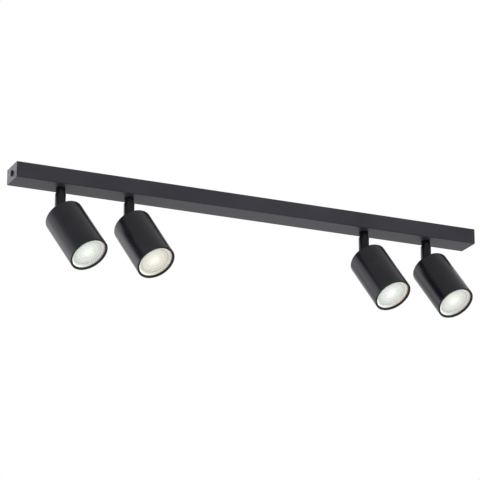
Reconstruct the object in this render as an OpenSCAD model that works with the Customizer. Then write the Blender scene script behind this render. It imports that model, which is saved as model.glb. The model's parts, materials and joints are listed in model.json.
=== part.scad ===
// Ceiling bar with four turning and tilting GU10 spots.
// The origin is the middle of the ceiling face, +Z points up into the ceiling and +X runs along the bar.
// The bar, the swivels and the heads hang below z = 0.

/* [Bar] */
// Length of the bar
bar_l = 700; // [660:10:900]
// Width of the bar
bar_w = 40; // [40:1:60]
// Height of the bar, from the ceiling to its underside
bar_h = 22; // [22:1:36]
// Thickness of the bar's steel sheet
bar_sheet = 1.2; // [0.8:0.1:1.4]
// Outer radius of the bar's two long folded edges
fold_r = 1.6; // [1.5:0.1:3]

/* [Places of the spots] */
// Distance from the bar's end to the nearest swivel
spot_inset = 70; // [60:1:100]
// Distance between the two swivels of a pair
pair_pitch = 100; // [95:1:120]
// Heading of each spot, turned from -Y towards +X, in degrees
spot_pan = [29, 22.5, 21.5, 19.5]; // [0:0.5:35]
// Tilt of each spot from straight down, in degrees
spot_tilt = [36, 36.5, 35.5, 36.5]; // [0:0.5:90]
// Heading at which each swivel's stop blocks the turn, in degrees
stop_heading = [180, -90, 180, -90]; // [-180:5:180]

/* [Ceiling bracket] */
// Width of the ceiling bracket
bracket_w = 30; // [28:1:34]
// Thickness of the bracket's steel strip
bracket_t = 1.5; // [1.2:0.1:1.8]
// Depth of the bracket's two folded long edges
bracket_lip = 4.5; // [3:0.5:5]
// Width of the tab at each end of the bracket, across its lower edge
tab_w = 16; // [12:1:20]
// Gap between a bracket tab and the bar's end wall
tab_gap = 0.4; // [0.2:0.1:0.8]
// Distance between the two slots for the ceiling screws
slot_pitch = 420; // [300:10:460]
// Length of a ceiling screw slot, end to end
slot_l = 20; // [12:1:30]
// Width of a ceiling screw slot
slot_w = 4.6; // [4:0.1:5.5]
// Thread diameter of the end screws and of the earth screw
screw_d = 3.5; // [3:0.5:5]

/* [Cable entry and terminals] */
// Hole through the grommet for the mains cable
cable_d = 9; // [7:0.5:11]
// Wall of the grommet between the cable and the bracket
grommet_wall = 3.5; // [2.5:0.5:4]
// Distance between the poles of the terminal block
pole_pitch = 10; // [9:0.5:12]
// Length of the terminal block along the wires
block_l = 16; // [15:1:17]
// Height of the terminal block
block_h = 12; // [11.5:0.5:12.5]
// Middle of the terminal block along the bar
block_x = 46; // [42:1:60]
// Outer diameter of an insulated wire in the bar
wire_d = 2.2; // [1.8:0.1:2.4]

/* [Swivel] */
// Outer diameter of the threaded nipple
nipple_d = 8; // [7.6:0.1:8.4]
// Bore of the nipple, which the wires pass through
nipple_bore = 5.4; // [5.1:0.1:5.8]
// Diameter of the collar between the bar and the sleeve
collar_d = 13; // [12.8:0.1:14]
// Height of the collar
collar_h = 8.4; // [5:0.2:10]
// Outer diameter of the swivel sleeve
sleeve_d = 15; // [14.6:0.1:15.4]
// Bore of the swivel sleeve
sleeve_bore = 11.8; // [11.6:0.1:12]
// Thickness of the sleeve's neck, which turns on the nipple
neck_t = 2.6; // [2.4:0.1:4]
// Drop from the bar's underside to the tilt axis
pivot_drop = 32; // [31:1:36]
// Length of the sleeve below the tilt axis
sleeve_below = 5; // [4.6:0.1:5.2]
// Diameter of the knuckle ball
ball_d = 11.2; // [10.8:0.1:11.2]
// Diameter of the shank between the ball and the head
shank_d = 9.2; // [8.8:0.1:9.2]
// Thread diameter of the two pivot screws
pivot_d = 3; // [2.6:0.1:3.2]

/* [Head] */
// Outer diameter of the head's casing
head_d = 55; // [55:0.5:60]
// Length of the casing
head_l = 80.9; // [80:0.5:95]
// Wall of the casing's side
head_wall = 1.4; // [1:0.1:1.5]
// Thickness of the casing's closed end
cap_t = 1.6; // [1.2:0.1:2]
// Outer radius of the casing's closed end
cap_round = 3; // [2.5:0.1:5]
// Distance from the tilt axis to the casing's closed end
pivot_to_cap = 10.4; // [10.2:0.1:12]
// Thread diameter of the hollow stud below the shank
stud_d = 8; // [7.6:0.1:8.4]
// Thickness of the lampholder bracket
holder_strip = 1; // [0.8:0.1:1.2]
// Diameter of the lampholder
holder_d = 27; // [26:0.5:28]
// Distance between the lampholder's two flats
holder_flats = 23; // [22.5:0.1:23.5]
// Height of the lampholder
holder_h = 18; // [16:0.5:19]

/* [Lamp] */
// Diameter of the lamp's face, 50 on every GU10 lamp
lamp_d = 50; // [49:0.1:50.5]
// Length of the lamp from its face to its base, without pins
lamp_l = 46.5; // [45:0.5:48]
// Depth of the lamp's face inside the casing
lamp_recess = 2.2; // [2:0.1:6]
// Bore of the ring that holds the lamp in the casing's mouth
ring_bore = 48.6; // [47:0.1:49]
// Diameter of the lamp's base
base_d = 25; // [24:0.5:26]
// Distance between the lamp's two pins, 10 on every GU10 lamp
pin_pitch = 10; // [9.6:0.1:10.4]
// Thickness of the lamp's front glass
lens_t = 1.6; // [1.2:0.1:2]

/* [Hidden] */
$fn = 64;
SPOTS = [0, 1, 2, 3];

// Clearances
run_gap = 0.05;      // radial, pivot screw in the sleeve and nipple in the sleeve's neck
thread_gap = 0.05;   // radial, between a thread and its hole
hole_gap = 0.2;      // radial, between a thread and a plain hole that it passes through
turn_gap = 0.2;      // between flat faces that turn on each other
ball_gap = 0.3;      // radial, between the ball and the sleeve's bore, and the shank and its slot
lamp_gap = 0.3;      // between the lamp's base and the lampholder's parts
over = 1;            // how far a cutting shape runs past what it cuts

// The bar and what stands in it
outer_x = bar_l / 2 - spot_inset;
SPOT_X = [-outer_x, -outer_x + pair_pitch, outer_x - pair_pitch, outer_x];
floor_z = -bar_h + bar_sheet;
bracket_l = bar_l - 2 * (bar_sheet + tab_gap);
end_screw_z = -bar_h / 2;
tab_h = bar_h / 2 + screw_d;
washer_t = 0.8;
nut_t = 3;
nut_across = nipple_d + 5;
thread_past_nut = 1.2;
nipple_top = floor_z + washer_t + nut_t + thread_past_nut;
end_screw_l = bar_sheet + tab_gap + bracket_t + thread_past_nut;
end_head_d = 2.4 * screw_d;
end_head_h = 3.6;
screw_head_d = 2 * screw_d;
screw_head_h = 0.6 * screw_d;
screw_socket = 0.6 * screw_d;

// Swivel, from the bar downwards
collar_bottom = -bar_h - collar_h;
sleeve_top = collar_bottom - turn_gap;
neck_bottom = sleeve_top - neck_t;
flange_top = neck_bottom - turn_gap;
flange_t = 1.5;
flange_d = sleeve_bore - 2 * ball_gap;
nipple_l = nipple_top - flange_top + flange_t;
pivot_z = -bar_h - pivot_drop;
sleeve_bottom = pivot_z - sleeve_below;
slot_half = shank_d / 2 + ball_gap;
stop_in = nipple_d / 2 + 1.1;
stop_out = sleeve_d / 2 - 1;
stop_depth = 1.2;
stop_angle = 8;
screw_seat = sleeve_bore / 2 + 0.9;
pivot_head_d = pivot_d + 2.6;
pivot_head_h = 1.5;
wire_bore = 4.8;
pivot_screw_l = screw_seat + turn_gap - wire_bore / 2 - 0.5;

// Head, measured from the tilt axis along the head
cap_inside = pivot_to_cap + cap_t;
head_front = pivot_to_cap + head_l;
bracket_top = cap_inside + holder_strip;
lug_t = 0.6;
stud_nut_t = 4;
stud_end = bracket_top + lug_t + stud_nut_t + 1;
lamp_face = head_front - lamp_recess;
ring_set = 0.3;       // from the casing's rim to the lamp ring
ring_edge = 0.4;      // bevel round the ring's bore
lamp_base = lamp_face - lamp_l;
holder_back = lamp_base - holder_h;
leg_in = holder_flats / 2 + 0.3;
leg_out = leg_in + holder_strip;
leg_w = 12;
groove_deep = 1.2;
groove_at = holder_back + 7;
groove_h = holder_strip + 0.2;

// Cable entry, terminals and wires
grommet_r = cable_d / 2 + grommet_wall;
grommet_edge = 1;
grommet_lip = 0.5;
grommet_flange = 1.5;
POLES = [-pole_pitch, 0, pole_pitch];
block_w = 3 * pole_pitch;
block_y = -4;
peg_pitch = pole_pitch;
peg_d = 2.4;
clamp_z = -9.5;
clamp_d = 5.8;
clamp_bore = 4;
clamp_screw_d = 3;
clamp_screw_l = 3.6;
core_d = 1.2;
earth_run = 14;       // from the terminal block's end to the earth screw
earth_x = block_x + block_w / 2 + earth_run;
mains_in = 3;         // from the bar's side wall to the earth jumper
mains_y = -bar_w / 2 + bar_sheet + mains_in;
lane_gap = 2.4;       // between the flats of the nipple nuts and the nearest wire
lane_y = nut_across / 2 + wire_d / 2 + lane_gap;
lane_step = 1.2;      // between neighbouring wires
lane_pitch = wire_d + lane_step;
lane_lift = 2;        // between the bar's floor and the wires
lane_z = floor_z + wire_d / 2 + lane_lift;
branch_rise = 4.5;    // from the nipple's top to the branches above it
branch_z = nipple_top + branch_rise;
branch_step = 0.3;    // between the earth branches and those below them
wire_bend = 3;
wire_x = 1.25;        // of the live and neutral branches, from the nipple's middle
wire_y = 0.7;
earth_y = -1.45;      // of the earth branches
wire_in = 1.5;        // how far the insulation runs into the terminal block
lug_w = 3;
lug_lap = 0.2;        // how far the wire stands back from the lug's end

// Lamp
rim_h = 7;
rim_wall = 1.3;
lamp_wall = 1.5;
base_h = 13;
pin_neck_d = 2.8;
pin_head_d = 4.8;
pin_head_h = 2.6;
pin_l = 7.2;
twist = 30;
lead_d = 1.8;
lead_bend = 1.6;
lead_x = 0.7;
lead_y = 1.2;
lead_turn = (stud_end + holder_back) / 2;
earth_out = -stud_d / 2 - 5.6;
lens_ledge = 1;
lens_r = lamp_d / 2 - rim_wall;
flare_steps = 10;
pin_seat = 3;
face_t = 2.6;
pocket_h = 5;
rim_round = 0.5;

function unit(v) = v / norm(v);

// Rods and elbows make a bent wire through a list of corner points
module rod(a, b, r) {
    d = b - a;
    translate(a) rotate([0, acos(d.z / norm(d)), atan2(d.y, d.x)]) cylinder(h = norm(d), r = r);
}

module elbow(a, q, b, bend, r) {
    u = unit(a - q);
    v = unit(b - q);
    half = acos(u * v) / 2;
    middle = q + unit(u + v) * bend / sin(half);
    x = unit(q + u * bend / tan(half) - middle);
    z = -unit(cross(u, v));
    y = cross(z, x);
    multmatrix([
        [x.x, y.x, z.x, middle.x],
        [x.y, y.y, z.y, middle.y],
        [x.z, y.z, z.z, middle.z],
        [0, 0, 0, 1],
    ])
        rotate_extrude(angle = 180 - 2 * half) translate([bend, 0]) circle(r);
}

function cut_back(p, i, bend) =
    (i == 0 || i == len(p) - 1) ? 0 : bend / tan(acos(unit(p[i - 1] - p[i]) * unit(p[i + 1] - p[i])) / 2);

module bent_wire(p, bend, r) {
    for (i = [0 : len(p) - 2]) {
        d = unit(p[i + 1] - p[i]);
        rod(p[i] + d * cut_back(p, i, bend), p[i + 1] - d * cut_back(p, i + 1, bend), r);
    }
    for (i = [1 : len(p) - 2]) elbow(p[i - 1], p[i], p[i + 1], bend, r);
}

// Folded steel section: a rectangle below y = 0 with its two lower corners rounded
module folded_section(w, h, r) {
    translate([-w / 2, -h + r]) square([w, h - r]);
    translate([-w / 2 + r, -h]) square([w - 2 * r, r]);
    for (side = [-1, 1]) translate([side * (w / 2 - r), -h + r]) circle(r);
}

module along_bar(l) rotate([90, 0, 90]) linear_extrude(l, center = true) children();

// Places: over a swivel, turned with it, and at a head with +Z along the head from the tilt axis
module at_swivel(i) translate([SPOT_X[i], 0, 0]) rotate([0, 0, spot_pan[i]]) children();
module at_head(i) translate([SPOT_X[i], 0, pivot_z]) rotate([0, 0, spot_pan[i]])
    rotate([180 - spot_tilt[i], 0, 0]) children();

// A straight slot through a plate, in the middle of its length
module slot(l, w, h) {
    cube([l - w, w, h], center = true);
    for (side = [-1, 1]) translate([side * (l - w) / 2, 0, 0]) cylinder(h = h, d = w, center = true);
}

// A domed screw along +Z: its head stands above z = 0 and its shank below
module domed_screw(d, shank, head_d, head_h, socket) {
    difference() {
        union() {
            intersection() {
                cylinder(h = head_h, d = head_d);
                translate([0, 0, head_h - head_d]) sphere(r = head_d);
            }
            translate([0, 0, -shank]) cylinder(h = shank + 0.1, d = d);
        }
        translate([0, 0, head_h * 0.4]) cylinder(h = head_h, d = socket, $fn = 6);
    }
}

module bar_housing() color([0.16, 0.16, 0.17]) difference() {
    along_bar(bar_l) folded_section(bar_w, bar_h, fold_r);
    along_bar(bar_l - 2 * bar_sheet) union() {
        folded_section(bar_w - 2 * bar_sheet, bar_h - bar_sheet, max(fold_r - bar_sheet, 0.1));
        translate([-bar_w / 2 + bar_sheet, -over]) square([bar_w - 2 * bar_sheet, 2 * over]);
    }
    for (x = SPOT_X) translate([x, 0, -bar_h - over])
        cylinder(h = bar_sheet + 2 * over, d = nipple_d + 2 * hole_gap);
    for (side = [-1, 1]) translate([side * (bar_l - bar_sheet) / 2, 0, end_screw_z])
        rotate([0, 90, 0]) cylinder(h = bar_sheet + 2 * over, d = screw_d + 2 * hole_gap, center = true);
}

module mounting_bracket() color([0.72, 0.73, 0.75]) difference() {
    union() {
        translate([-bracket_l / 2, -bracket_w / 2, -bracket_t]) cube([bracket_l, bracket_w, bracket_t]);
        for (side = [-1, 1]) {
            translate([0, side * (bracket_w - bracket_t) / 2, -(bracket_lip + bracket_t / 2) / 2])
                cube([bracket_l - 2 * tab_w, bracket_t, bracket_lip - bracket_t / 2], center = true);
            translate([side * (bracket_l - bracket_t) / 2 - bracket_t / 2, 0, 0])
                rotate([90, 0, 90]) linear_extrude(bracket_t) polygon([
                    [-bracket_w / 2, -bracket_t / 2], [-tab_w / 2, -tab_h],
                    [tab_w / 2, -tab_h], [bracket_w / 2, -bracket_t / 2],
                ]);
        }
    }
    translate([0, 0, -bracket_t - over]) cylinder(h = bracket_t + 2 * over, r = grommet_r);
    translate([0, 0, -grommet_lip]) cylinder(h = grommet_lip + over, r = grommet_r + grommet_edge);
    for (side = [-1, 1]) {
        translate([side * slot_pitch / 2, 0, -bracket_t / 2]) slot(slot_l, slot_w, bracket_t + 2 * over);
        translate([side * (bracket_l - bracket_t) / 2, 0, end_screw_z]) rotate([0, 90, 0])
            cylinder(h = bracket_t + 2 * over, d = screw_d + 2 * thread_gap, center = true);
        translate([block_x + side * peg_pitch / 2, block_y, -bracket_t - over])
            cylinder(h = bracket_t + 2 * over, d = peg_d + 2 * thread_gap);
    }
    translate([earth_x, 0, -bracket_t - over])
        cylinder(h = bracket_t + 2 * over, d = screw_d + 2 * thread_gap);
}

module end_screws() color([0.13, 0.13, 0.14]) for (side = [-1, 1])
    translate([side * bar_l / 2, 0, end_screw_z]) rotate([0, side * 90, 0])
        domed_screw(screw_d, end_screw_l, end_head_d, end_head_h, screw_socket);

module swivel_nipples() color([0.78, 0.74, 0.62]) for (x = SPOT_X)
    translate([x, 0, flange_top - flange_t]) difference() {
        union() {
            cylinder(h = nipple_l, d = nipple_d);
            cylinder(h = flange_t, d = flange_d);
        }
        translate([0, 0, -over]) cylinder(h = nipple_l + 2 * over, d = nipple_bore);
    }

// A ring sector centred on the heading -Y
module sector(r_in, r_out, angle, h)
    rotate([0, 0, -90 - angle / 2]) rotate_extrude(angle = angle)
        translate([r_in, 0]) square([r_out - r_in, h]);

module swivel_collars() color([0.14, 0.14, 0.15]) for (i = SPOTS) translate([SPOT_X[i], 0, collar_bottom]) {
    difference() {
        cylinder(h = collar_h, d = collar_d);
        translate([0, 0, -over]) cylinder(h = collar_h + 2 * over, d = nipple_d + 2 * thread_gap);
    }
    rotate([0, 0, stop_heading[i]]) translate([0, 0, -turn_gap - stop_depth + ball_gap])
        sector(stop_in + ball_gap, stop_out - ball_gap, stop_angle, turn_gap + stop_depth - ball_gap + 0.1);
}

module lock_washers() color([0.75, 0.76, 0.78]) for (x = SPOT_X) translate([x, 0, floor_z]) difference() {
    cylinder(h = washer_t, d = nut_across + 1);
    translate([0, 0, -over]) cylinder(h = washer_t + 2 * over, d = nipple_d + 2 * thread_gap);
    for (a = [0 : 45 : 315]) rotate([0, 0, a]) translate([nipple_d / 2 + 1, -0.4, -over])
        cube([nut_across, 0.8, washer_t + 2 * over]);
}

module hex_nut(across, bore, h) difference() {
    cylinder(h = h, d = across / cos(30), $fn = 6);
    translate([0, 0, -over]) cylinder(h = h + 2 * over, d = bore);
}

module nipple_nuts() color([0.78, 0.74, 0.62]) for (x = SPOT_X) translate([x, 0, floor_z + washer_t])
    hex_nut(nut_across, nipple_d + 2 * thread_gap, nut_t);

module cable_grommet() color([0.09, 0.09, 0.09]) difference() {
    union() {
        translate([0, 0, -bracket_t]) cylinder(h = bracket_t, r = grommet_r);
        translate([0, 0, -grommet_lip]) cylinder(h = grommet_lip, r = grommet_r + grommet_edge - 0.1);
        translate([0, 0, -bracket_t - grommet_flange])
            cylinder(h = grommet_flange, r = grommet_r + 2 * grommet_edge);
    }
    translate([0, 0, -bracket_t - grommet_flange - over])
        cylinder(h = bracket_t + grommet_flange + 2 * over, d = cable_d);
}

module earth_screw() color([0.8, 0.78, 0.6]) translate([earth_x, 0, -bracket_t - lug_t]) rotate([180, 0, 0])
    domed_screw(screw_d, bracket_t + lug_t - 0.1, screw_head_d, screw_head_h, screw_socket);

// The terminal block hangs under the bracket on two pegs, its wires run along Y
module terminal_block() color([0.92, 0.92, 0.9]) translate([block_x, block_y, -bracket_t]) difference() {
    union() {
        translate([-block_w / 2, -block_l / 2, -block_h]) cube([block_w, block_l, block_h]);
        for (side = [-1, 1]) translate([side * peg_pitch / 2, 0, -0.1]) cylinder(h = bracket_t, d = peg_d);
    }
    for (x = POLES) {
        translate([x, 0, clamp_z + bracket_t]) rotate([90, 0, 0])
            cylinder(h = block_l + 2 * over, d = clamp_d + 2 * thread_gap, center = true);
        for (side = [-1, 1]) translate([x, side * block_l / 4, -block_h - over])
            cylinder(h = block_h + over + clamp_z + bracket_t, d = clamp_screw_d + 0.6);
    }
    for (x = [-pole_pitch / 2, pole_pitch / 2]) translate([x - 0.8, -block_l / 2 - over, -block_h - over])
        cube([1.6, block_l + 2 * over, block_h * 0.4]);
}

module terminal_clamps() color([0.8, 0.66, 0.3]) for (x = POLES)
    translate([block_x + x, block_y, clamp_z]) difference() {
        rotate([90, 0, 0]) cylinder(h = block_l - 2, d = clamp_d, center = true);
        rotate([90, 0, 0]) cylinder(h = block_l, d = clamp_bore, center = true);
        for (side = [-1, 1]) translate([0, side * block_l / 4, -clamp_d])
            cylinder(h = clamp_d, d = clamp_screw_d + 2 * thread_gap);
    }

module terminal_screws() color([0.75, 0.76, 0.78]) for (x = POLES, side = [-1, 1])
    translate([block_x + x, block_y + side * block_l / 4, clamp_z - 0.9]) difference() {
        translate([0, 0, -clamp_screw_l]) cylinder(h = clamp_screw_l, d = clamp_screw_d);
        translate([-clamp_screw_d, -0.3, -clamp_screw_l - over]) cube([2 * clamp_screw_d, 0.6, over + 0.9]);
    }

// One conductor along the bar: a branch down each nipple's bore and a tail to its terminal pole
module conductor(lane, spread, pole, rise) {
    top = branch_z + rise;
    start = [SPOT_X[0] + spread.x, spread.y, flange_top];
    end = [SPOT_X[3] + spread.x, spread.y, flange_top];
    bent_wire([
        start, [start.x, start.y, top], [start.x, lane, top], [start.x, lane, lane_z],
        [end.x, lane, lane_z], [end.x, lane, top], [end.x, end.y, top], end,
    ], wire_bend, wire_d / 2);
    for (k = [1, 2]) bent_wire([
        [SPOT_X[k] + spread.x, spread.y, flange_top], [SPOT_X[k] + spread.x, spread.y, top],
        [SPOT_X[k] + spread.x, lane, top], [SPOT_X[k] + spread.x, lane, lane_z],
    ], wire_bend, wire_d / 2);
    bent_wire([
        [block_x + pole, block_y + block_l / 2 - wire_in, clamp_z],
        [block_x + pole, lane, clamp_z], [block_x + pole, lane, lane_z],
    ], wire_bend, wire_d / 2);
    rod([block_x + pole, block_y + 1, clamp_z], [block_x + pole, block_y + block_l / 2, clamp_z], core_d / 2);
}

module live_wires() color([0.45, 0.25, 0.12]) conductor(lane_y, [wire_x, wire_y], POLES[0], 0);
module neutral_wires() color([0.15, 0.3, 0.7]) conductor(lane_y + lane_pitch, [-wire_x, wire_y], POLES[1], 0);

module earth_wires() color([0.5, 0.68, 0.2]) {
    lug_end = lug_lap - screw_head_d;
    conductor(lane_y + 2 * lane_pitch, [0, earth_y], POLES[2], wire_d + branch_step);
    translate([earth_x, 0, -bracket_t - lug_t]) difference() {
        union() {
            cylinder(h = lug_t, d = screw_head_d);
            translate([-lug_w / 2, -screw_head_d, 0]) cube([lug_w, screw_head_d, lug_t]);
        }
        translate([0, 0, -over]) cylinder(h = lug_t + 2 * over, d = screw_d + 2 * thread_gap);
    }
    bent_wire([
        [earth_x, lug_end, -bracket_t - lug_t + 0.1], [earth_x, lug_end, clamp_z],
        [earth_x, mains_y, clamp_z], [block_x + POLES[2], mains_y, clamp_z],
        [block_x + POLES[2], block_y - block_l / 2 + wire_in, clamp_z],
    ], wire_bend, wire_d / 2);
}

module swivel_sleeve(i) color([0.14, 0.14, 0.15]) at_swivel(i) difference() {
    translate([0, 0, sleeve_bottom]) cylinder(h = sleeve_top - sleeve_bottom, d = sleeve_d);
    translate([0, 0, neck_bottom - over]) cylinder(h = neck_t + 2 * over, d = nipple_d + 2 * run_gap);
    translate([0, 0, sleeve_bottom - over]) cylinder(h = neck_bottom - sleeve_bottom + over, d = sleeve_bore);
    translate([0, 0, sleeve_top - stop_depth]) rotate([0, 0, 180])
        sector(stop_in, stop_out, 360 - stop_angle, stop_depth + over);
    translate([0, 0, pivot_z]) rotate([90, 0, 0]) cylinder(h = sleeve_d, r = slot_half);
    translate([-slot_half, -sleeve_d, sleeve_bottom - over])
        cube([2 * slot_half, sleeve_d, sleeve_below + over]);
    translate([0, 0, pivot_z]) rotate([0, 90, 0])
        cylinder(h = sleeve_d + 2 * over, d = pivot_d + 2 * run_gap, center = true);
    for (side = [-1, 1]) translate([side * screw_seat, 0, pivot_z]) rotate([0, side * 90, 0])
        cylinder(h = sleeve_d, d = pivot_head_d + 2 * hole_gap);
}

module pivot_screws(i) color([0.13, 0.13, 0.14]) at_head(i) for (side = [-1, 1])
    translate([side * (screw_seat + turn_gap), 0, 0]) rotate([0, side * 90, 0])
        domed_screw(pivot_d, pivot_screw_l, pivot_head_d, pivot_head_h, 0.6 * pivot_d);

module knuckle(i) color([0.14, 0.14, 0.15]) at_head(i) difference() {
    union() {
        sphere(d = ball_d);
        cylinder(h = pivot_to_cap, d = shank_d);
        translate([0, 0, pivot_to_cap - 0.1]) cylinder(h = stud_end - pivot_to_cap + 0.1, d = stud_d);
    }
    translate([0, 0, -ball_d]) cylinder(h = ball_d + stud_end + over, d = wire_bore);
    translate([0, 0, -ball_d / 2]) cylinder(h = ball_d / 4, d1 = 0.8 * ball_d, d2 = wire_bore);
    rotate([0, 90, 0]) cylinder(h = 2 * ball_d, d = pivot_d + 2 * thread_gap, center = true);
}

module knuckle_nut(i) color([0.78, 0.74, 0.62]) at_head(i) translate([0, 0, bracket_top + lug_t])
    hex_nut(stud_d + 5, stud_d + 2 * thread_gap, stud_nut_t);

// Half section of a round cup that stands on y = 0, with its lower corner rounded
module cup_half(r, l, round) {
    translate([0, round]) square([r, l - round]);
    square([r - round, round]);
    translate([r - round, round]) circle(round);
}

module casing(i) color([0.16, 0.16, 0.17]) at_head(i) translate([0, 0, pivot_to_cap]) rotate_extrude() {
    difference() {
        cup_half(head_d / 2, head_l - rim_round, cap_round);
        translate([0, cap_t]) cup_half(head_d / 2 - head_wall, head_l, cap_round - head_wall + 0.4);
        translate([0, -over]) square([stud_d / 2 + hole_gap, cap_t + 2 * over]);
    }
    translate([head_d / 2 - head_wall + rim_round, head_l - 2 * rim_round])
        square([head_wall - 2 * rim_round, 2 * rim_round]);
    for (r = [head_d / 2 - rim_round, head_d / 2 - head_wall + rim_round])
        translate([r, head_l - rim_round]) circle(rim_round);
    lamp_ring();
}

// Half section of the loose ring in the casing's mouth, which keeps the lamp from dropping out
module lamp_ring() polygon([
    [ring_bore / 2, head_l - lamp_recess + thread_gap],
    [head_d / 2 - head_wall - thread_gap, head_l - lamp_recess + thread_gap],
    [head_d / 2 - head_wall - thread_gap, head_l - ring_set],
    [ring_bore / 2 + ring_edge, head_l - ring_set],
    [ring_bore / 2, head_l - ring_set - ring_edge],
]);

module holder_bracket(i) color([0.72, 0.73, 0.75]) at_head(i) difference() {
    union() {
        translate([-leg_out, -leg_w / 2, cap_inside]) cube([2 * leg_out, leg_w, holder_strip]);
        for (side = [0, 1]) mirror([side, 0, 0]) {
            translate([leg_in, -leg_w / 2, cap_inside])
                cube([holder_strip, leg_w, groove_at + 0.1 + holder_strip - cap_inside]);
            translate([holder_flats / 2 - groove_deep + 0.3, -leg_w / 2, groove_at + 0.1])
                cube([leg_out - holder_flats / 2 + groove_deep - 0.3, leg_w, holder_strip]);
        }
    }
    translate([0, 0, cap_inside - over]) cylinder(h = holder_strip + 2 * over, d = stud_d + 2 * hole_gap);
}

module lampholder(i) color([0.93, 0.91, 0.86]) at_head(i) translate([0, 0, holder_back]) difference() {
    intersection() {
        cylinder(h = holder_h, d = holder_d);
        translate([-holder_flats / 2, -holder_d, 0]) cube([holder_flats, 2 * holder_d, holder_h]);
    }
    for (side = [0, 1]) mirror([side, 0, 0])
        translate([holder_flats / 2 - groove_deep, -leg_w / 2 - 0.3, groove_at - holder_back])
            cube([groove_deep + over, leg_w + 0.6, groove_h]);
    translate([0, 0, holder_h - face_t - pocket_h]) difference() {
        cylinder(h = pocket_h, d = pin_pitch + pin_head_d + 4 * lamp_gap);
        translate([0, 0, -over]) cylinder(h = pocket_h + 2 * over, d = pin_pitch - pin_head_d - 4 * lamp_gap);
    }
    for (side = [0, 180]) rotate([0, 0, side]) translate([0, 0, holder_h - face_t - 0.1]) {
        rotate([0, 0, -twist]) translate([0, pin_pitch / 2, 0])
            cylinder(h = face_t + over, d = pin_head_d + 2 * lamp_gap);
        translate([0, pin_pitch / 2, 0]) cylinder(h = face_t + over, d = pin_neck_d + 3 * lamp_gap);
        rotate([0, 0, 90 - twist]) rotate_extrude(angle = twist)
            translate([(pin_pitch - pin_neck_d) / 2 - lamp_gap, 0])
                square([pin_neck_d + 2 * lamp_gap, face_t + over]);
    }
    for (side = [-1, 1]) translate([lead_x, side * pin_pitch / 2, -over])
        cylinder(h = holder_h - face_t - pocket_h + over + 0.1, d = lead_d + 2 * lamp_gap);
}

module lamp_leads(i) color([0.85, 0.85, 0.85]) at_head(i) {
    for (side = [-1, 1]) bent_wire([
        [lead_x, side * lead_y, 0], [lead_x, side * lead_y, lead_turn],
        [lead_x, side * pin_pitch / 2, lead_turn], [lead_x, side * pin_pitch / 2, holder_back + 4],
    ], lead_bend, lead_d / 2);
    bent_wire([
        [-2 * lead_x, 0, 0], [-2 * lead_x, 0, lead_turn],
        [earth_out, 0, lead_turn], [earth_out, 0, bracket_top + lug_t - 0.1],
    ], lead_bend, lead_d / 2);
    difference() {
        translate([0, 0, bracket_top]) cylinder(h = lug_t, d = stud_d + 5);
        translate([0, 0, bracket_top - over]) cylinder(h = lug_t + 2 * over, d = stud_d + 2 * thread_gap);
    }
    translate([earth_out - lead_d / 2, -lug_w / 2, bracket_top])
        cube([-earth_out + lead_d / 2 - stud_d / 2 - 1, lug_w, lug_t]);
}

// Outline of the lamp's flared body, from the top of its base to its rim, drawn in by the wall
function flare(wall) = [for (k = [0 : flare_steps])
    let (t = k / flare_steps)
    [base_d / 2 - wall + (lamp_d / 2 - 1 - base_d / 2) * pow(t, 0.62),
        base_h + (lamp_l - rim_h - base_h) * t]];

module lamp_body(i) color([0.93, 0.93, 0.92]) at_head(i) translate([0, 0, lamp_base]) difference() {
    rotate_extrude() difference() {
        union() {
            polygon(concat([[0, 0], [base_d / 2, 0]], flare(0), [[0, lamp_l - rim_h]]));
            translate([0, lamp_l - rim_h]) square([lamp_d / 2, rim_h]);
        }
        translate([0, base_h * 0.4]) square([base_d / 2 - 2 * lamp_wall, base_h]);
        polygon(concat([[0, base_h]], flare(lamp_wall), [[0, lamp_l - rim_h]]));
        translate([0, lamp_l - rim_h - 0.1]) square([lens_r - lens_ledge, rim_h + over]);
        translate([0, lamp_l - lens_t]) square([lens_r, lens_t + over]);
    }
    for (side = [-1, 1]) translate([0, side * pin_pitch / 2, -over])
        cylinder(h = pin_seat + over, d = pin_neck_d + 2 * thread_gap);
}

module lamp_pins(i) color([0.75, 0.76, 0.78]) at_head(i) for (side = [-1, 1])
    translate([0, side * pin_pitch / 2, lamp_base - pin_l]) {
        cylinder(h = pin_head_h, d = pin_head_d);
        cylinder(h = pin_l + pin_seat - 0.1, d = pin_neck_d);
    }

module lamp_lens(i) color([1, 1, 0.95]) at_head(i) translate([0, 0, lamp_face - lens_t])
    cylinder(h = lens_t, r = lens_r - 0.1);

bar_housing();
mounting_bracket();
end_screws();
swivel_nipples();
swivel_collars();
lock_washers();
nipple_nuts();
terminal_block();
terminal_clamps();
terminal_screws();
cable_grommet();
earth_screw();
live_wires();
neutral_wires();
earth_wires();
swivel_sleeve(0);  // swivel_sleeve_1
pivot_screws(0);  // pivot_screws_1
knuckle(0);  // knuckle_1
knuckle_nut(0);  // knuckle_nut_1
casing(0);  // casing_1
holder_bracket(0);  // holder_bracket_1
lampholder(0);  // lampholder_1
lamp_leads(0);  // lamp_leads_1
lamp_body(0);  // lamp_body_1
lamp_pins(0);  // lamp_pins_1
lamp_lens(0);  // lamp_lens_1
swivel_sleeve(1);  // swivel_sleeve_2
pivot_screws(1);  // pivot_screws_2
knuckle(1);  // knuckle_2
knuckle_nut(1);  // knuckle_nut_2
casing(1);  // casing_2
holder_bracket(1);  // holder_bracket_2
lampholder(1);  // lampholder_2
lamp_leads(1);  // lamp_leads_2
lamp_body(1);  // lamp_body_2
lamp_pins(1);  // lamp_pins_2
lamp_lens(1);  // lamp_lens_2
swivel_sleeve(2);  // swivel_sleeve_3
pivot_screws(2);  // pivot_screws_3
knuckle(2);  // knuckle_3
knuckle_nut(2);  // knuckle_nut_3
casing(2);  // casing_3
holder_bracket(2);  // holder_bracket_3
lampholder(2);  // lampholder_3
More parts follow.
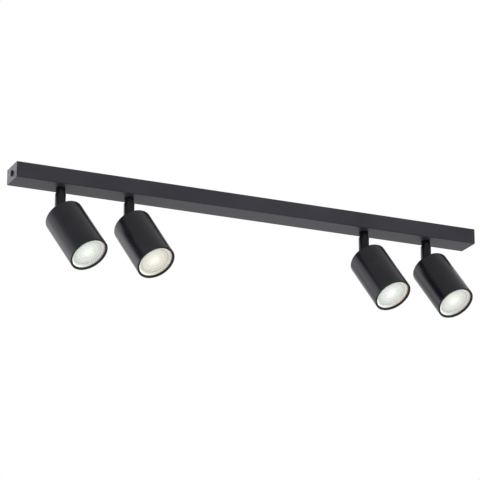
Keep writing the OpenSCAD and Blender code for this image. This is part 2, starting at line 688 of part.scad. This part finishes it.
lamp_leads(2);  // lamp_leads_3
lamp_body(2);  // lamp_body_3
lamp_pins(2);  // lamp_pins_3
lamp_lens(2);  // lamp_lens_3
swivel_sleeve(3);  // swivel_sleeve_4
pivot_screws(3);  // pivot_screws_4
knuckle(3);  // knuckle_4
knuckle_nut(3);  // knuckle_nut_4
casing(3);  // casing_4
holder_bracket(3);  // holder_bracket_4
lampholder(3);  // lampholder_4
lamp_leads(3);  // lamp_leads_4
lamp_body(3);  // lamp_body_4
lamp_pins(3);  // lamp_pins_4
lamp_lens(3);  // lamp_lens_4
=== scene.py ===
import json
import math

import bpy
from mathutils import Matrix, Vector


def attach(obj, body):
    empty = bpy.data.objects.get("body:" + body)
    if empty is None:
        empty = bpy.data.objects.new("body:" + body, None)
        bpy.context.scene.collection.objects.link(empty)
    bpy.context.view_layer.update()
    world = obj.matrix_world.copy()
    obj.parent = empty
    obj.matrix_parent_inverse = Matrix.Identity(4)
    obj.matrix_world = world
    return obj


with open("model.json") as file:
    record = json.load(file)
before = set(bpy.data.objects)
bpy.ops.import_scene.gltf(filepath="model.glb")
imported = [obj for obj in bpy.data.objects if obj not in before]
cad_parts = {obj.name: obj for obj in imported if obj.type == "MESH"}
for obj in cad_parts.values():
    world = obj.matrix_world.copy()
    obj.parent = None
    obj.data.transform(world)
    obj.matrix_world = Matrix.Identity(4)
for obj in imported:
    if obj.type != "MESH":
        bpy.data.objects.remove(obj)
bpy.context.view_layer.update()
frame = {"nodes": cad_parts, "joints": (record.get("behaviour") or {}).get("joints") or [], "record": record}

MM = 0.001
WHITE = (1, 1, 1)
BLACK = (0, 0, 0)
BODY_OF = {n: b for b, names in frame["record"]["behaviour"]["bodies"].items() for n in names}
JOINTS = {j["name"]: j for j in frame["joints"]}

# ---------------------------------------------------------------- camera

PAN, PITCH = math.radians(23.97), math.radians(18.59)
LENS_MM, SENSOR_MM = 186.51, 36.0
camera_data = bpy.data.cameras.new("camera")
camera_data.lens = LENS_MM
camera_data.sensor_width = SENSOR_MM
camera = bpy.data.objects.new("camera", camera_data)
camera.location = (-1.3485, -3.0029, -1.1652)
camera.rotation_euler = (math.pi / 2 + PITCH, 0, -PAN)
bpy.context.scene.collection.objects.link(camera)
bpy.context.scene.camera = camera

# ---------------------------------------------------------------- places


def head_place(k):
    """Matrix of the k-th head: its origin is on the tilt axis and +Z runs along the head to the lamp."""
    tilt = JOINTS[f"tilt_{k}"]
    x, y, _ = tilt["axis"]
    heading = math.atan2(-y, -x)
    lean = math.radians(-tilt["range_deg"][0])
    turn = Matrix.Rotation(heading, 4, "Z") @ Matrix.Rotation(math.pi - lean, 4, "X")
    return Matrix.Translation(tilt["pos_m"]) @ turn


def span(node, place):
    """Lowest and highest corner of a CAD node in the frame of place."""
    back = place.inverted()
    pts = [back @ v.co for v in frame["nodes"][node].data.vertices]
    lo = Vector(min(p[a] for p in pts) for a in range(3))
    hi = Vector(max(p[a] for p in pts) for a in range(3))
    return lo, hi


# ---------------------------------------------------------------- node helpers


class Nodes:
    """Short names for building one material's node tree."""

    def __init__(self, tree):
        self.tree = tree

    def add(self, kind, **values):
        node = self.tree.nodes.new(kind)
        for name, value in values.items():
            setattr(node, name, value)
        return node

    def link(self, a, b):
        self.tree.links.new(a, b)

    def coords(self, scale=(1, 1, 1), rotation=(0, 0, 0)):
        place = self.add("ShaderNodeTexCoord")
        mapping = self.add("ShaderNodeMapping")
        mapping.inputs["Scale"].default_value = scale
        mapping.inputs["Rotation"].default_value = rotation
        self.link(place.outputs["Object"], mapping.inputs["Vector"])
        return mapping.outputs["Vector"]

    def noise(self, vector, scale, detail, rough=0.5):
        tex = self.add("ShaderNodeTexNoise")
        tex.inputs["Scale"].default_value = scale
        tex.inputs["Detail"].default_value = detail
        tex.inputs["Roughness"].default_value = rough
        self.link(vector, tex.inputs["Vector"])
        return tex.outputs["Fac"]

    def math(self, operation, a, b=None):
        node = self.add("ShaderNodeMath", operation=operation)
        for socket, value in zip(node.inputs, (a, b)):
            if value is None:
                continue
            if isinstance(value, (int, float)):
                socket.default_value = value
            else:
                self.link(value, socket)
        return node.outputs["Value"]

    def span(self, value, low, high, to_low, to_high):
        node = self.add("ShaderNodeMapRange")
        ends = {"From Min": low, "From Max": high, "To Min": to_low, "To Max": to_high}
        for name, number in ends.items():
            node.inputs[name].default_value = number
        self.link(value, node.inputs["Value"])
        return node.outputs["Result"]

    def ramp(self, value, stops):
        node = self.add("ShaderNodeValToRGB")
        band = node.color_ramp
        while len(band.elements) < len(stops):
            band.elements.new(0.5)
        for element, (place, colour) in zip(band.elements, stops):
            element.position = place
            element.color = (*colour, 1)
        self.link(value, node.inputs["Fac"])
        return node.outputs["Color"]

    def bump(self, height, strength, distance, normal=None):
        node = self.add("ShaderNodeBump")
        node.inputs["Strength"].default_value = strength
        node.inputs["Distance"].default_value = distance
        self.link(height, node.inputs["Height"])
        if normal is not None:
            self.link(normal, node.inputs["Normal"])
        return node.outputs["Normal"]

    def shows_background(self):
        """1 for the rays that see the pale background: camera, transmission and glossy ones."""
        ray = self.add("ShaderNodeLightPath").outputs
        clear = self.math("MAXIMUM", ray["Is Camera Ray"], ray["Is Transmission Ray"])
        return self.math("MAXIMUM", clear, ray["Is Glossy Ray"])


def new_material(name):
    material = bpy.data.materials.new(name)
    material.use_nodes = True
    tree = material.node_tree
    shader = next(n for n in tree.nodes if n.type == "BSDF_PRINCIPLED")
    return material, Nodes(tree), shader


def between(a, b, t):
    return tuple(p + (q - p) * t for p, q in zip(a, b))


# ---------------------------------------------------------------- materials


def paint(name, colour, rough, specular=0.5, grain=0.25):
    """Satin powder coat: fine orange peel, slow gloss changes and slow darker and paler patches."""
    material, n, shader = new_material(name)
    where = n.coords()
    slow = n.noise(where, 14, 2)
    fine = n.noise(where, 900, 2, 0.6)
    peel = n.noise(where, 340, 1)
    dark, pale = between(colour, BLACK, 0.18), between(colour, WHITE, 0.012)
    n.link(n.ramp(slow, [(0.3, dark), (0.7, pale)]), shader.inputs["Base Color"])
    mixed = n.math("ADD", n.math("MULTIPLY", slow, 0.6), n.math("MULTIPLY", fine, 0.4))
    n.link(n.span(mixed, 0.3, 0.7, rough - 0.05, rough + 0.05), shader.inputs["Roughness"])
    coarse = n.bump(peel, grain, 0.00006)
    n.link(n.bump(fine, grain * 0.7, 0.00003, coarse), shader.inputs["Normal"])
    shader.inputs["Specular IOR Level"].default_value = specular
    return material


def plated(name, colour, rough, stretch=(1, 1, 1)):
    """Plated or plain metal with fine drawn lines and cloudy spots."""
    material, n, shader = new_material(name)
    lines = n.noise(n.coords(stretch), 700, 2, 0.6)
    cloud = n.noise(n.coords(), 160, 3)
    stops = [(0.25, between(colour, BLACK, 0.22)), (0.75, between(colour, WHITE, 0.12))]
    n.link(n.ramp(cloud, stops), shader.inputs["Base Color"])
    mixed = n.math("ADD", n.math("MULTIPLY", lines, 0.5), n.math("MULTIPLY", cloud, 0.5))
    n.link(n.span(mixed, 0.3, 0.7, rough - 0.08, rough + 0.1), shader.inputs["Roughness"])
    n.link(n.bump(lines, 0.25, 0.00003), shader.inputs["Normal"])
    shader.inputs["Metallic"].default_value = 1.0
    return material


def moulded(name, colour, rough, size=600.0, depth=0.3, specular=0.45):
    """Moulded plastic, rubber, ceramic or glass with a fine skin."""
    material, n, shader = new_material(name)
    skin = n.noise(n.coords(), size, 3, 0.6)
    cloud = n.noise(n.coords(), size / 12, 2)
    stops = [(0.3, between(colour, BLACK, 0.12)), (0.7, between(colour, WHITE, 0.05))]
    n.link(n.ramp(cloud, stops), shader.inputs["Base Color"])
    n.link(n.span(skin, 0.3, 0.7, rough - 0.06, rough + 0.08), shader.inputs["Roughness"])
    n.link(n.bump(skin, depth, 0.00005), shader.inputs["Normal"])
    shader.inputs["Specular IOR Level"].default_value = specular
    return material


def lit_glass(name, middle, radius, near, far):
    """The lamp's glass body with light leaking into it, from one tint to another along the bar."""
    material = moulded(name, (0.80, 0.81, 0.79), 0.22, 200, 0.08, 0.6)
    n = Nodes(material.node_tree)
    shader = next(s for s in material.node_tree.nodes if s.type == "BSDF_PRINCIPLED")
    parts = n.add("ShaderNodeSeparateXYZ")
    n.link(n.coords(), parts.inputs["Vector"])
    along = n.span(parts.outputs["X"], middle - radius, middle + radius, 0.0, 1.0)
    n.link(n.ramp(along, [(0.25, near), (0.8, far)]), shader.inputs["Emission Color"])
    shader.inputs["Emission Strength"].default_value = 1.0
    return material


def striped(name, first, second):
    """Two-coloured wire insulation with lengthwise stripes."""
    material, n, shader = new_material(name)
    wave = n.add("ShaderNodeTexWave", wave_type="BANDS", bands_direction="DIAGONAL")
    wave.inputs["Scale"].default_value = 95
    n.link(n.coords((0.02, 1, 1)), wave.inputs["Vector"])
    n.link(n.ramp(wave.outputs["Fac"], [(0.5, first), (0.56, second)]), shader.inputs["Base Color"])
    skin = n.noise(n.coords(), 1500, 2)
    n.link(n.span(skin, 0.3, 0.7, 0.35, 0.5), shader.inputs["Roughness"])
    n.link(n.bump(skin, 0.2, 0.00003), shader.inputs["Normal"])
    return material


def braided(name, colour):
    """Woven glass-fibre sleeve: two crossing sets of threads."""
    material, n, shader = new_material(name)
    where = n.coords()
    height = None
    for direction, angle in (("X", 0.8), ("Y", -0.8)):
        wave = n.add("ShaderNodeTexWave", wave_type="BANDS", bands_direction=direction)
        wave.inputs["Scale"].default_value = 700
        n.link(n.coords(rotation=(0.4, angle, angle)), wave.inputs["Vector"])
        fac = wave.outputs["Fac"]
        height = fac if height is None else n.math("MAXIMUM", height, fac)
    stops = [(0.2, between(colour, BLACK, 0.35)), (0.8, colour)]
    n.link(n.ramp(height, stops), shader.inputs["Base Color"])
    n.link(n.span(n.noise(where, 800, 2), 0.3, 0.7, 0.6, 0.8), shader.inputs["Roughness"])
    n.link(n.bump(height, 0.5, 0.0001), shader.inputs["Normal"])
    return material


def clear_glass(name):
    """The lamp's front glass: clear, with a faint haze from moulding."""
    material, n, shader = new_material(name)
    haze = n.noise(n.coords(), 260, 3)
    shader.inputs["Base Color"].default_value = (0.97, 0.99, 0.97, 1)
    shader.inputs["Transmission Weight"].default_value = 1.0
    shader.inputs["IOR"].default_value = 1.45
    n.link(n.span(haze, 0.3, 0.7, 0.02, 0.06), shader.inputs["Roughness"])
    return material


# Angular frequencies of the lens's two sets of rings, per lens radius
FINE_RINGS, BROAD_RINGS = 52, 33


def lit_optic(name, radius, core, field, tint):
    """The lit lens behind the glass: bright core, soft rings, dark line, dim edge and two tints."""
    material, n, shader = new_material(name)
    place = n.add("ShaderNodeTexCoord")
    parts = n.add("ShaderNodeSeparateXYZ")
    n.link(place.outputs["Object"], parts.inputs["Vector"])
    x2 = n.math("MULTIPLY", parts.outputs["X"], parts.outputs["X"])
    y2 = n.math("MULTIPLY", parts.outputs["Y"], parts.outputs["Y"])
    far = n.math("DIVIDE", n.math("SQRT", n.math("ADD", x2, y2)), radius)
    side = n.math("MULTIPLY", parts.outputs["X"], 0.8 / radius)

    bright, dim, line = between(field, core, 0.45), between(field, BLACK, 0.12), between(field, BLACK, 0.4)
    glow = n.ramp(far, [
        (0.0, core), (0.14, core), (0.34, bright), (0.55, between(field, core, 0.2)), (0.70, field),
        (0.80, dim), (0.825, line), (0.85, line), (0.875, dim), (1.0, dim),
    ])

    wavy = n.math("ADD", far, n.math("MULTIPLY", n.noise(n.coords(), 260, 2), 0.05))
    rings = n.math("SINE", n.math("MULTIPLY", wavy, FINE_RINGS))
    arcs = n.math("SINE", n.math("MULTIPLY", wavy, BROAD_RINGS))
    lines = n.math("MULTIPLY", n.span(rings, -1, 0.2, 0.82, 1.0), n.span(arcs, -1, -0.45, 0.62, 1.0))
    clearer = n.math("MULTIPLY", n.span(far, 0.25, 0.6, 0.0, 1.0), n.span(side, -0.6, 0.6, 0.45, 1.0))
    bands = n.add("ShaderNodeMix", data_type="RGBA", blend_type="MULTIPLY")
    n.link(clearer, bands.inputs["Factor"])
    n.link(glow, bands.inputs["A"])
    n.link(lines, bands.inputs["B"])

    wash = n.ramp(n.span(side, -1.0, 1.0, 0.0, 1.0), [(0.0, tint[0]), (0.5, WHITE), (1.0, tint[1])])
    mix = n.add("ShaderNodeMix", data_type="RGBA", blend_type="MULTIPLY")
    mix.inputs["Factor"].default_value = 1.0
    n.link(bands.outputs["Result"], mix.inputs["A"])
    n.link(wash, mix.inputs["B"])
    n.link(mix.outputs["Result"], shader.inputs["Emission Color"])
    shader.inputs["Emission Strength"].default_value = 0.84
    shader.inputs["Base Color"].default_value = (0.42, 0.43, 0.41, 1)
    n.link(n.bump(rings, 0.3, 0.0003), shader.inputs["Normal"])
    n.link(n.span(rings, -1, 1, 0.18, 0.3), shader.inputs["Roughness"])
    return material


LOOKS = {
    "bar_paint": paint("bar_paint", (0.030, 0.030, 0.044), 0.48, 0.27),
    "casing_paint": paint("casing_paint", (0.0030, 0.0030, 0.0085), 0.26, 0.23),
    "swivel_paint": paint("swivel_paint", (0.0010, 0.0010, 0.0032), 0.22, 0.18, 0.15),
    "black_screw": paint("black_screw", (0.010, 0.010, 0.011), 0.30, 0.5, 0.15),
    "zinc_steel": plated("zinc_steel", (0.62, 0.63, 0.65), 0.34, (0.1, 1, 1)),
    "brass": plated("brass", (0.78, 0.60, 0.28), 0.30),
    "terminal_plastic": moulded("terminal_plastic", (0.82, 0.82, 0.78), 0.45),
    "grommet_rubber": moulded("grommet_rubber", (0.018, 0.018, 0.018), 0.62, 500, 0.4, 0.35),
    "brown_sleeve": moulded("brown_sleeve", (0.12, 0.042, 0.018), 0.42, 1200, 0.2),
    "blue_sleeve": moulded("blue_sleeve", (0.02, 0.07, 0.36), 0.42, 1200, 0.2),
    "green_sleeve": striped("green_sleeve", (0.05, 0.30, 0.05), (0.75, 0.68, 0.04)),
    "white_sleeve": braided("white_sleeve", (0.74, 0.73, 0.70)),
    "ceramic": moulded("ceramic", (0.80, 0.77, 0.70), 0.60, 300, 0.4, 0.3),
    "lamp_front": clear_glass("lamp_front"),
    "lamp_pin": plated("lamp_pin", (0.66, 0.65, 0.62), 0.26),
}

for part in frame["record"]["subparts"]:
    if part["material_slot"] in LOOKS:
        skin = frame["nodes"][part["node"]].data.materials
        skin.clear()
        skin.append(LOOKS[part["material_slot"]])

# ---------------------------------------------------------------- pieces


SIDES = 96
SHARP = math.radians(35)
AXIS_RADIUS = 1e-7


def revolve(name, profile, place, material):
    """A turned piece from (radius, height) points, in the frame of place."""
    points, faces = [], []
    rows = []
    for radius, height in profile:
        if radius < AXIS_RADIUS:
            rows.append([len(points)] * SIDES)
            points.append((0, 0, height))
            continue
        rows.append(list(range(len(points), len(points) + SIDES)))
        for s in range(SIDES):
            a = 2 * math.pi * s / SIDES
            points.append((radius * math.cos(a), radius * math.sin(a), height))
    for low, high in zip(rows, rows[1:]):
        for s in range(SIDES):
            t = (s + 1) % SIDES
            corners = [low[s], low[t], high[t], high[s]]
            corners = [c for c, d in zip(corners, corners[1:] + corners[:1]) if c != d]
            if len(set(corners)) > 2:
                faces.append(corners)
    mesh = bpy.data.meshes.new(name)
    mesh.from_pydata(points, [], faces)
    mesh.validate()
    mesh.materials.append(material)
    for polygon in mesh.polygons:
        polygon.use_smooth = True
    mesh.set_sharp_from_angle(angle=SHARP)
    obj = bpy.data.objects.new(name, mesh)
    bpy.context.scene.collection.objects.link(obj)
    obj.matrix_world = place
    bpy.context.view_layer.update()
    return obj


# Colour of the light that leaks through each lamp's glass towards its right
RIM = {1: (0.12, 0.07, 0.075), 2: (0.16, 0.13, 0.08), 3: (0.22, 0.12, 0.06), 4: (0.15, 0.08, 0.06)}
# Core, field, and the tints towards the two sides of each lamp
GLOW = {
    1: ((0.95, 0.93, 0.87), (0.58, 0.60, 0.57), (0.88, 1.0, 0.96), (1.0, 0.98, 0.94)),
    2: ((0.95, 0.91, 0.85), (0.63, 0.58, 0.51), (1.0, 1.0, 0.98), (1.0, 0.94, 0.85)),
    3: ((0.95, 0.93, 0.93), (0.59, 0.60, 0.58), (0.97, 0.96, 1.0), (0.96, 1.0, 0.97)),
    4: ((0.95, 0.93, 0.87), (0.58, 0.60, 0.56), (0.96, 1.0, 0.96), (1.0, 0.96, 0.94)),
}
# The lens's turned face: share of its radius, and depth behind the front glass in mm
STEPS = [(1.0, 0.5), (0.97, 0.7), (0.87, 0.7), (0.85, 1.5), (0.83, 0.8), (0.76, 0.9), (0.755, 1.15),
         (0.68, 1.2), (0.675, 1.45), (0.60, 1.5), (0.595, 1.75), (0.52, 1.8), (0.515, 2.05),
         (0.44, 2.1), (0.43, 2.35), (0.35, 2.4), (0.30, 2.1), (0.20, 1.8), (0.0, 1.7)]

GAP = 1.0 * MM  # between the lens and the rim of the lamp

for k in range(1, 5):
    place = head_place(k)
    low, high = span(f"lamp_lens_{k}", place)
    radius, back = high.x - GAP, low.z
    core, field, *tint = GLOW[k]
    middle = (place @ Vector((0, 0, high.z))).x
    glass = frame["nodes"][f"lamp_body_{k}"].data.materials
    glass.clear()
    near = between(field, WHITE, 0.1)
    glass.append(lit_glass(f"lamp_glass_{k}", middle, high.x, near, RIM[k]))
    optic = [(share * radius, -depth * MM) for share, depth in STEPS]
    piece = revolve(f"lamp_optic_{k}", optic, place @ Matrix.Translation((0, 0, back)),
                    lit_optic(f"lit_optic_{k}", radius, core, field, tint))
    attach(piece, BODY_OF[f"lamp_lens_{k}"])

# ---------------------------------------------------------------- stage and light

HALF, FLOOR_Z = 15, -4.3
corners = [(-HALF, -HALF, 0), (HALF, -HALF, 0), (HALF, HALF, 0), (-HALF, HALF, 0)]
floor_mesh = bpy.data.meshes.new("floor")
floor_mesh.from_pydata(corners, [], [(0, 1, 2, 3)])
floor = bpy.data.objects.new("floor", floor_mesh)
floor.location = (0, 0, FLOOR_Z)
bpy.context.scene.collection.objects.link(floor)
pale, n, shader = new_material("pale_floor")
shader.inputs["Base Color"].default_value = (0.82, 0.82, 0.82, 1)
shader.inputs["Roughness"].default_value = 0.9
shader.inputs["Emission Color"].default_value = (0.38, 0.38, 0.38, 1)
n.link(n.shows_background(), shader.inputs["Emission Strength"])
floor_mesh.materials.append(pale)


def softbox(name, at, aim, width, height, power, colour=WHITE):
    """A rectangular lamp at a point, turned to aim at another."""
    data = bpy.data.lights.new(name, "AREA")
    data.shape = "RECTANGLE"
    data.size, data.size_y = width, height
    data.energy = power
    data.color = colour
    obj = bpy.data.objects.new(name, data)
    obj.location = at
    obj.rotation_mode = "QUATERNION"
    obj.rotation_quaternion = (Vector(aim) - Vector(at)).to_track_quat("-Z", "Y")
    bpy.context.scene.collection.objects.link(obj)


softbox("key", (-1.6, 1.2, 0.9), (0, 0, -0.05), 1.2, 1.2, 2)
softbox("end", (-0.95, 1.8, 0.75), (-0.35, 0, 0), 1.2, 1.2, 5, (0.98, 0.98, 1.03))
# Four nested panels, each 3 cm in front of the larger one behind it, make one with a soft edge
for step, share in enumerate((1.25, 1.05, 0.85, 0.65)):
    at = (-1.33 + 0.024 * step, 0.91 - 0.018 * step, 0.12)
    width, height, power = 1.5 * share, 0.95 * share, 1.5 * share ** 2
    softbox(f"flank_{step}", at, (0, -0.1, 0.05), width, height, power, (0.97, 0.98, 1.05))

world = bpy.data.worlds.new("studio")
world.use_nodes = True
bpy.context.scene.world = world
w = Nodes(world.node_tree)
world.node_tree.nodes.clear()
out = w.add("ShaderNodeOutputWorld")
soft = w.add("ShaderNodeBackground")
soft.inputs["Color"].default_value = (0.75, 0.75, 0.75, 1)
white = w.add("ShaderNodeBackground")
white.inputs["Color"].default_value = (1, 1, 1, 1)
seen = w.add("ShaderNodeMixShader")
w.link(w.shows_background(), seen.inputs["Fac"])
w.link(soft.outputs["Background"], seen.inputs[1])
w.link(white.outputs["Background"], seen.inputs[2])
w.link(seen.outputs["Shader"], out.inputs["Surface"])

bpy.context.scene.view_settings.view_transform = "Standard"
